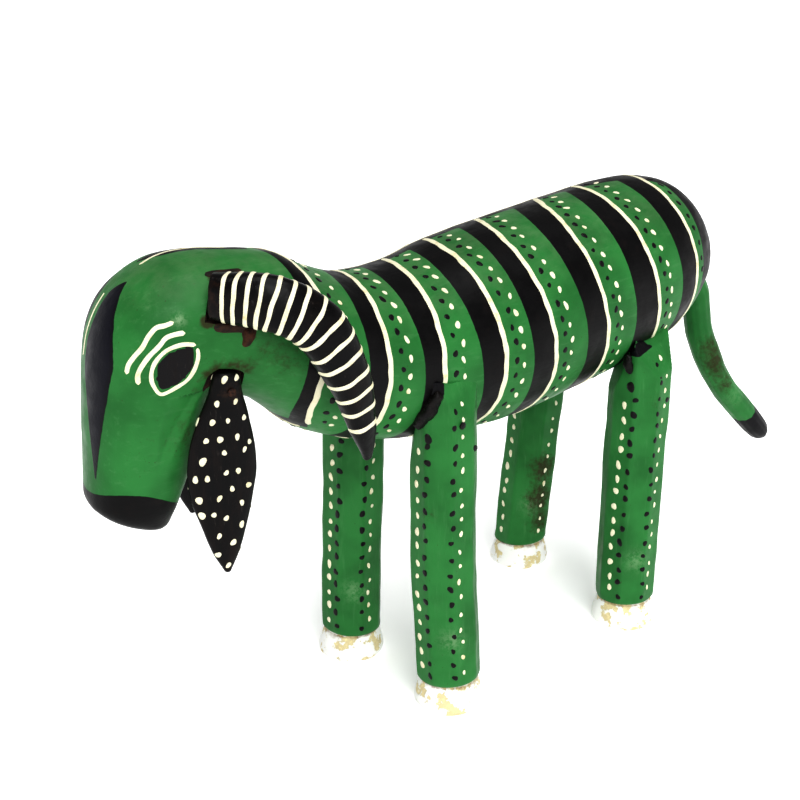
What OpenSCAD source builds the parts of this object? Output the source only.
// A carved and painted wooden ram that stands on four stick legs. It faces -X and its left side is -Y.
// The origin is on the ground, under the middle of its bounding box.

/* [Body] */
// Largest width of the torso
torso_w = 92; // [80:1:100]
// Height of the torso against its width
torso_flat = 0.97; // [0.9:0.01:1.05]
// Width of the head at the brow
head_w = 56; // [50:1:60]
// How far the head turns to its right, in degrees
head_turn = 20; // [10:1:24]
// How far the spine drifts sideways for each millimetre of its length
spine_drift = 0.04; // [0:0.01:0.05]

/* [Legs] */
// Diameter of a leg
leg_d = 29; // [24:0.5:31]
// Diameter of a hoof at the ground
hoof_d = 31; // [28:0.5:34]
// Height of a hoof
hoof_h = 12.5; // [9:0.5:16]
// Thickness of the putty line at a leg's shoulder
shoulder_putty_t = 4.5; // [2:0.5:6]

/* [Horns] */
// Width of a horn at its thickest
horn_w = 22; // [18:0.5:24]
// Thickness of a horn, from its inner to its outer side
horn_t = 13; // [10:0.5:14]
// Diameter of the peg that goes into the head
horn_peg_d = 8; // [6:0.5:10]

/* [Ears] */
// Width of an ear
ear_w = 26.6; // [20:0.2:30]
// Thickness of an ear
ear_t = 7; // [5:0.5:8]
// Distance from the head's middle plane to an ear's middle
ear_out = 26; // [25.5:0.5:28]

/* [Tail] */
// Diameter of the tail near its root
tail_d = 15; // [12:0.5:17]
// Diameter of the carved tenon
tenon_d = 9; // [7:0.5:10]
// Length of the carved tenon
tenon_l = 20; // [14:1:24]

/* [Fits] */
// Diameter of a nail's shank
nail_d = 1.8; // [1.4:0.1:2.2]
// Diameter of a nail's head
nail_head_d = 3.2; // [2.6:0.1:4]
// Radial running clearance of an ear on its nail
ear_clearance = 0.06; // [0.03:0.01:0.1]
// Radial running clearance of the tail's tenon
tenon_clearance = 0.05; // [0.02:0.01:0.1]

/* [Hidden] */

LEFT = 1;
RIGHT = -1;
ROUND_FN = 48;
SKIN_SIDES = 28;
SKIN_STEPS = 2;
BRANCH_SIDES = 16;
BRANCH_STEPS = 2;
centre_x = 2.9;         // moves the middle of the bounding box to the origin
centre_y = -1.4;
big = 80;

// Paint colours
green = [0.13, 0.47, 0.25];
black = [0.09, 0.07, 0.08];
putty = [0.16, 0.11, 0.09];
rust = [0.35, 0.22, 0.15];

// The plan line of the animal: p is the way forward from the pivot of the neck. Behind the pivot the
// line is the spine, and ahead of it the line turns with the head.
neck_x = -130;
neck_y = 7;
spine_turn = atan(spine_drift);

function plan(p) = p <= 0
    ? [neck_x - p, neck_y + spine_drift * p]
    : [neck_x - p * cos(head_turn), neck_y + p * sin(head_turn)];

// A point at p along the plan line, at height z, and lat out to the left of a line turned by turn
function place(p, z, lat, turn) =
    let(c = plan(p)) [c[0] - sin(turn) * lat, c[1] - cos(turn) * lat, z];

// Each section of the torso: x, height of its centre, radius as a share of half torso_w, and how far
// its top leans forward as a share of its height
TORSO = [
    [130, 176.5, 0.1, 0], [127.5, 176.8, 0.36, 0.05], [121, 177.2, 0.59, 0.1], [109, 176.8, 0.775, 0.14],
    [90, 173, 0.9, 0.18], [60, 167.8, 0.96, 0.2], [20, 163, 0.975, 0.2], [-20, 158.8, 0.96, 0.18],
    [-55, 157.3, 0.867, 0.1], [-85, 161.2, 0.795, 0], [-108, 169.7, 0.75, -0.08]
];
// Each section of the neck and head: p and z of its throat side, p and z of its crown side, width as
// a share of head_w, turn as a share of head_turn, and squareness
HEAD = [
    [-6, 147, -9, 211, 1.09, 0.3, 2.1], [5, 156, 8, 213.8, 1.05, 0.6, 2.15],
    [13, 159.5, 24, 215, 1.03, 0.9, 2.2], [17, 161.5, 40, 212.5, 1.01, 1, 2.3],
    [19, 161, 54, 203, 0.98, 1, 2.4], [20.5, 158, 62.5, 188, 0.94, 1, 2.4],
    [22.5, 152, 65.8, 167, 0.89, 1, 2.4], [25.5, 141, 67.3, 146, 0.82, 1, 2.4],
    [31, 126, 68.5, 130, 0.75, 1, 2.4], [36, 115, 68.3, 122, 0.7, 1, 2.4],
    [39, 109.5, 63, 117, 0.58, 1, 2.3], [45, 109, 55, 113.5, 0.32, 1, 2.2]
];

function torso_section(s) =
    let(p = neck_x - s[0], h = s[2] * torso_w / 2 * torso_flat)
    [p - h * s[3], s[1] - h, p + h * s[3], s[1] + h, s[2] * torso_w / 2, spine_turn, 2];
function head_section(s) =
    [s[0], s[1], s[2], s[3], s[4] * head_w / 2, s[5] * head_turn, s[6]];

function squared(v, e) = sign(v) * pow(abs(v), 2 / e);
function section_point(s, a) =
    let(k = (squared(sin(a), s[6]) + 1) / 2)
    place(s[0] + (s[2] - s[0]) * k, s[1] + (s[3] - s[1]) * k, s[4] * squared(cos(a), s[6]), s[5]);
function section_ring(s, sides) = [for (i = [0 : sides - 1]) section_point(s, 360 * i / sides)];

// Smooth curve through b and c, with a and d as their outer neighbours
function curve(a, b, c, d, t) =
    0.5 * (2 * b + (c - a) * t + (2 * a - 5 * b + 4 * c - d) * t * t + (3 * b - a - 3 * c + d) * t * t * t);
function curve_at(list, k, t) =
    let(last = len(list) - 1)
    curve(list[max(k - 1, 0)], list[k], list[k + 1], list[min(k + 2, last)], t);
function smooth(list, steps) = concat(
    [for (k = [0 : len(list) - 2]) for (j = [0 : steps - 1]) curve_at(list, k, j / steps)],
    [list[len(list) - 1]]);

function middle(ring) = [for (i = [0 : len(ring) - 1]) 1] * ring / len(ring);

// Closed solid through a list of rings that all have the same number of points
module skin(rings) {
    n = len(rings[0]);
    m = len(rings);
    points = concat([for (r = rings) for (q = r) q], [middle(rings[0]), middle(rings[m - 1])]);
    sides = [for (i = [0 : m - 2]) for (j = [0 : n - 1])
        let(a = i * n + j, b = i * n + (j + 1) % n)
        each [[a, a + n, b + n], [a, b + n, b]]];
    ends = [for (j = [0 : n - 1])
        each [[m * n, j, (j + 1) % n], [m * n + 1, (m - 1) * n + (j + 1) % n, (m - 1) * n + j]]];
    polyhedron(points, concat(sides, ends));
}

module body_skin() {
    sections = concat([for (s = TORSO) torso_section(s)], [for (s = HEAD) head_section(s)]);
    skin(smooth([for (s = sections) section_ring(s, SKIN_SIDES)], SKIN_STEPS));
}

// Points its children's +Z axis along a direction from a point
module along(from, dir) {
    flat = norm([dir[0], dir[1]]);
    translate(from) rotate([0, atan2(flat, dir[2]), atan2(dir[1], dir[0])]) children();
}

// Legs: where the hoof stands, how far the top leans along X and Y, and the height of the top
LEGS = [[-57, -30, -2, 3, 156], [-62, 33, 2, -3, 152], [57, -38, 3, 3, 149], [66, 40, 6, -7, 150]];
FRONT_LEFT = 0;
FRONT_RIGHT = 1;
REAR_LEFT = 2;
REAR_RIGHT = 3;
hoof_waist = 0.9;       // width of a hoof's top against leg_d
flank_bevel = 24;       // slope of a leg's outer face at the top, from the upright
flank_lip = 11;         // how far the leg's top reaches out past its axis
shoulder_slope = 45;    // slope of the cut across the front of a leg's top
shoulder_drop = 15;     // height of that cut

function leg_side(i) = LEGS[i][1] < 0 ? -1 : 1;
function leg_foot(i) = [LEGS[i][0], LEGS[i][1], hoof_h];
function leg_dir(i) = [LEGS[i][2], LEGS[i][3], LEGS[i][4] - hoof_h];

module leg_stick(i, d) {
    along(leg_foot(i), leg_dir(i)) cylinder(d = d, h = norm(leg_dir(i)), $fn = ROUND_FN);
}

// The slope that brings a leg's outer face back to the flank
module flank_cut(i) {
    y = LEGS[i][1] + LEGS[i][3] + leg_side(i) * flank_lip;
    translate([LEGS[i][0], y, LEGS[i][4]])
        rotate([leg_side(i) * flank_bevel, 0, 0])
            translate([-big / 2, leg_side(i) > 0 ? 0 : -big, -big / 2])
                cube([big, big, big]);
}

module leg(i) {
    color(green) difference() {
        union() {
            translate([LEGS[i][0], LEGS[i][1], 0])
                cylinder(d1 = hoof_d, d2 = leg_d * hoof_waist, h = hoof_h, $fn = ROUND_FN);
            leg_stick(i, leg_d);
        }
        flank_cut(i);
        shoulder_block(i, 0);
        leg_nail_pair(i);
    }
}

// Leg nails: two through each leg's outer side, straight into the torso
nail_l = 34;
nail_head_h = 0.8;
nail_rise = [-19, -31];     // heights below the top of the leg
nail_step = [-3, 4];        // places along X from the leg's axis
nail_up = 0.15;             // how much a leg nail climbs

module nail(l) {
    cylinder(d = nail_d, h = l, $fn = ROUND_FN);
    cylinder(d = nail_head_d, h = nail_head_h, $fn = ROUND_FN);
}

module leg_nail_pair(i) {
    for (k = [0, 1]) {
        z = LEGS[i][4] + nail_rise[k];
        share = (z - hoof_h) / leg_dir(i)[2];
        x = LEGS[i][0] + LEGS[i][2] * share + nail_step[k];
        depth = sqrt(pow(leg_d / 2, 2) - pow(nail_step[k], 2));
        y = LEGS[i][1] + LEGS[i][3] * share + leg_side(i) * (depth - nail_head_h / 2);
        along([x, y, z], [0, -leg_side(i), nail_up]) nail(nail_l);
    }
}

// Everything above the sloping cut across the front of a leg's top, raised by up
module shoulder_block(i, up) {
    x = LEGS[i][0] + LEGS[i][2] - leg_d / 2;
    translate([x, LEGS[i][1] - big / 2, LEGS[i][4] - shoulder_drop])
        rotate([0, -shoulder_slope, 0])
            translate([-big / 2, 0, up])
                cube([big, big, big]);
}

// The seat for a leg: its upper end, with room for the putty over the sloping cut
module leg_seat(i) {
    difference() {
        leg_stick(i, leg_d);
        shoulder_block(i, shoulder_putty_t);
    }
}

// Horns: height, and way back from the root, of the middle line; half width; outward ease from the root
// to the widest place; thickness share
horn_z = [205, 203, 193.6, 174, 151, 135];
horn_back = [0, 14.5, 28.5, 39.5, 47.5, 51];
horn_wide = [0.82, 1, 1, 0.87, 0.58, 0.16];
horn_ease = [0, 0.62, 0.93, 1.04, 1.02, 0.96];
horn_thick = [0.9, 1, 1, 0.9, 0.66, 0.2];
horn_root_p = 22;
horn_root_out = 25;
horn_span = 43;         // widest distance of a horn's middle from the spine
horn_low = 11;          // how much lower the right horn's root sits
horn_low_tip = 4;       // and its tip

function horn_height(side, k) = horn_z[k] - (side == RIGHT
    ? horn_low + (horn_low_tip - horn_low) * k / (len(horn_z) - 1) : 0);
function horn_root(side) = place(horn_root_p, horn_height(side, 0), side * horn_root_out, head_turn);
function horn_line(side) =
    let(r = horn_root(side), out0 = side * (neck_y - r[1]))
    [for (k = [0 : len(horn_z) - 1])
        [r[0] + horn_back[k], neck_y - side * (out0 + (horn_span - out0) * horn_ease[k]),
            horn_height(side, k)]];

// Flat-sided section: wide in the plane that the horn curves in, and thin across it
function horn_ring(c, t, wide, thick) =
    let(u = t / norm(t), out = cross([0, 1, 0], u), w = out / norm(out), v = cross(u, w))
    [for (i = [0 : BRANCH_SIDES - 1])
        let(a = 360 * i / BRANCH_SIDES)
        c + w * wide * squared(cos(a), 2.6) + v * thick * squared(sin(a), 2.6)];

module horn_body(side) {
    last = len(horn_z) - 1;
    line = smooth(horn_line(side), BRANCH_STEPS);
    size = smooth([for (k = [0 : last]) [horn_wide[k] * horn_w / 2, horn_thick[k] * horn_t / 2]], BRANCH_STEPS);
    n = len(line) - 1;
    skin([for (k = [0 : n])
        horn_ring(line[k], line[min(k + 1, n)] - line[max(k - 1, 0)], size[k][0], size[k][1])]);
}

function horn_root_dir(side) = let(l = smooth(horn_line(side), BRANCH_STEPS)) l[1] - l[0];
horn_peg_l = 13;
peg_overlap = 3;

module horn_peg(side, d) {
    dir = horn_root_dir(side);
    start = horn_root(side) - dir / norm(dir) * horn_peg_l;
    along(start, dir) cylinder(d = d, h = horn_peg_l + peg_overlap, $fn = ROUND_FN);
}

module horn(side) {
    color(black) difference() {
        union() {
            horn_body(side);
            horn_peg(side, horn_peg_d);
        }
        horn_nail(side);
    }
}

// The seat is cut square to the horn's root, and is a little wider than the horn
horn_seat_d = 24;
horn_seat_l = 24;
module horn_seat(side) {
    along(horn_root(side), horn_root_dir(side)) cylinder(d = horn_seat_d, h = horn_seat_l, $fn = ROUND_FN);
}

horn_nail_l = 30;
horn_nail_p = 10;       // where the nail points on the head's middle line, and how far below the root
horn_nail_drop = 12;
horn_nail_proud = 0.6;
module horn_nail(side) {
    l = smooth(horn_line(side), BRANCH_STEPS);
    c = l[1];
    inward = place(horn_nail_p, horn_height(side, 0) - horn_nail_drop, 0, head_turn) - c;
    u = inward / norm(inward);
    along(c - u * (horn_t / 2 + horn_nail_proud), u) nail(horn_nail_l);
}

// Ears: an ear hangs from its nail. Each section: height against the nail, middle and half width as a
// share of half ear_w, and thickness share
EAR = [
    [7.5, 0.06, 0.06, 0.3], [6.5, 0.08, 0.26, 0.7], [3, 0.09, 0.42, 0.95], [-2, 0.13, 0.5, 1],
    [-10, 0.2, 0.7, 1], [-20, 0.27, 0.9, 1], [-32, 0.31, 1, 1], [-44, 0.34, 0.88, 0.95],
    [-56, 0.34, 0.62, 0.85], [-66, 0.35, 0.36, 0.7], [-73, 0.35, 0.1, 0.35]
];
ear_p = 17;
ear_z = 168.5;
ear_pocket_d = 31;
ear_gap = 0.4;          // between an ear's inner face and the floor of its notch
ear_nail_l = 24;

function ear_pivot(side) = place(ear_p, ear_z, side * ear_out, head_turn);
function ear_out_dir(side) = side * [-sin(head_turn), -cos(head_turn), 0];

function ear_ring(s, side) =
    let(c = ear_pivot(side), f = [-cos(head_turn), sin(head_turn), 0], o = ear_out_dir(side), h = ear_w / 2)
    [for (i = [0 : BRANCH_SIDES - 1])
        let(a = 360 * i / BRANCH_SIDES)
        c + f * h * (s[1] + s[2] * cos(a)) + o * side * ear_t / 2 * s[3] * sin(a) + [0, 0, s[0]]];

module ear(side) {
    color(black) difference() {
        skin(smooth([for (s = EAR) ear_ring(s, side)], BRANCH_STEPS));
        along(ear_pivot(side) - ear_out_dir(side) * ear_t, ear_out_dir(side))
            cylinder(d = nail_d + 2 * ear_clearance, h = 2 * ear_t, $fn = ROUND_FN);
    }
}

// The nail's head stands just clear of the ear's outer face
module ear_nail(side) {
    out = ear_out_dir(side);
    along(ear_pivot(side) + out * (ear_t / 2 + ear_clearance + nail_head_h), -out) nail(ear_nail_l);
}

module ear_pocket(side) {
    out = ear_out_dir(side);
    along(ear_pivot(side) - out * (ear_t / 2 + ear_gap), out)
        cylinder(d = ear_pocket_d, h = big / 4, $fn = ROUND_FN);
}

// Tail: points down its middle line, each with a share of half tail_d
TAIL = [
    [125.5, -11, 163, 0.92], [129.5, -13, 157.5, 0.97], [133.5, -15, 148, 1], [137.5, -16.5, 128, 1],
    [146, -19, 109, 1], [156, -21, 94, 0.97], [167.5, -23, 82, 0.94], [178, -25, 71, 0.86],
    [186, -26.5, 63.5, 0.62], [190, -27.2, 60, 0.2]
];
tail_root = [TAIL[0][0], TAIL[0][1], TAIL[0][2]];
tail_out = [5, -2, -5.5];   // the way the tail leaves the rump
tail_seat_d = 17;
tail_seat_l = 12;
tail_seat_gap = 0.3;

function tail_ring(q, t) =
    let(u = t / norm(t), w = cross([0, 1, 0], u), a1 = w / norm(w), b1 = cross(u, a1), r = q[3] * tail_d / 2)
    [for (i = [0 : BRANCH_SIDES - 1])
        let(a = 360 * i / BRANCH_SIDES)
        [q[0], q[1], q[2]] + r * (a1 * cos(a) + b1 * sin(a))];

tenon_lap = 2;          // how far the tenon runs into the tail, and its room at each end of the socket
tenon_room = 1;
module tail() {
    line = smooth(TAIL, BRANCH_STEPS);
    n = len(line) - 1;
    u = tail_out / norm(tail_out);
    color(green) union() {
        skin([for (k = [0 : n])
            let(d = k == 0 ? tail_out : line[min(k + 1, n)] - line[k - 1])
            tail_ring(line[k], [d[0], d[1], d[2]])]);
        along(tail_root - u * tenon_l, u) cylinder(d = tenon_d, h = tenon_l + tenon_lap, $fn = ROUND_FN);
    }
}

module tail_socket() {
    u = tail_out / norm(tail_out);
    along(tail_root - u * (tenon_l + tenon_room), u)
        cylinder(d = tenon_d + 2 * tenon_clearance, h = tenon_l + 2 * tenon_room, $fn = ROUND_FN);
    along(tail_root - u * tail_seat_gap, u) cylinder(d = tail_seat_d, h = tail_seat_l, $fn = ROUND_FN);
}

wedge_d = 10;           // putty pressed under a horn, and its place behind, beside and below the root
wedge_at = [9, 1.5, 15];
module horn_wedge(side) {
    r = horn_root(side);
    translate([r[0] + wedge_at[0], r[1] - side * wedge_at[1], r[2] - wedge_at[2]])
        sphere(d = wedge_d, $fn = ROUND_FN);
}

module body() {
    color(green) difference() {
        body_skin();
        for (i = [0 : len(LEGS) - 1]) {
            leg_seat(i);
            leg_nail_pair(i);
        }
        for (side = [LEFT, RIGHT]) {
            horn_seat(side);
            horn_peg(side, horn_peg_d);
            horn_nail(side);
            horn_wedge(side);
            ear_pocket(side);
            ear_nail(side);
        }
        tail_socket();
    }
}

module leg_nails() {
    color(rust) for (i = [0 : len(LEGS) - 1]) leg_nail_pair(i);
}

module horn_nails() {
    color(rust) for (side = [LEFT, RIGHT]) horn_nail(side);
}

module horn_putty() {
    color(putty) for (side = [LEFT, RIGHT]) difference() {
        horn_wedge(side);
        horn_seat(side);
        ear_pocket(side);
    }
}

module leg_putty() {
    color(putty) for (i = [0 : len(LEGS) - 1]) difference() {
        intersection() {
            leg_stick(i, leg_d);
            shoulder_block(i, 0);
        }
        shoulder_block(i, shoulder_putty_t);
        flank_cut(i);
    }
}

module centred() {
    translate([centre_x, centre_y, 0]) children();
}

centred() body();
centred() leg(FRONT_LEFT);  // leg_front_left
centred() leg(FRONT_RIGHT);  // leg_front_right
centred() leg(REAR_LEFT);  // leg_rear_left
centred() leg(REAR_RIGHT);  // leg_rear_right
centred() horn(LEFT);  // horn_left
centred() horn(RIGHT);  // horn_right
centred() ear(LEFT);  // ear_left
centred() ear(RIGHT);  // ear_right
centred() tail();
centred() ear_nail(LEFT);  // ear_nail_left
centred() ear_nail(RIGHT);  // ear_nail_right
centred() horn_nails();
centred() leg_nails();
centred() horn_putty();
centred() leg_putty();
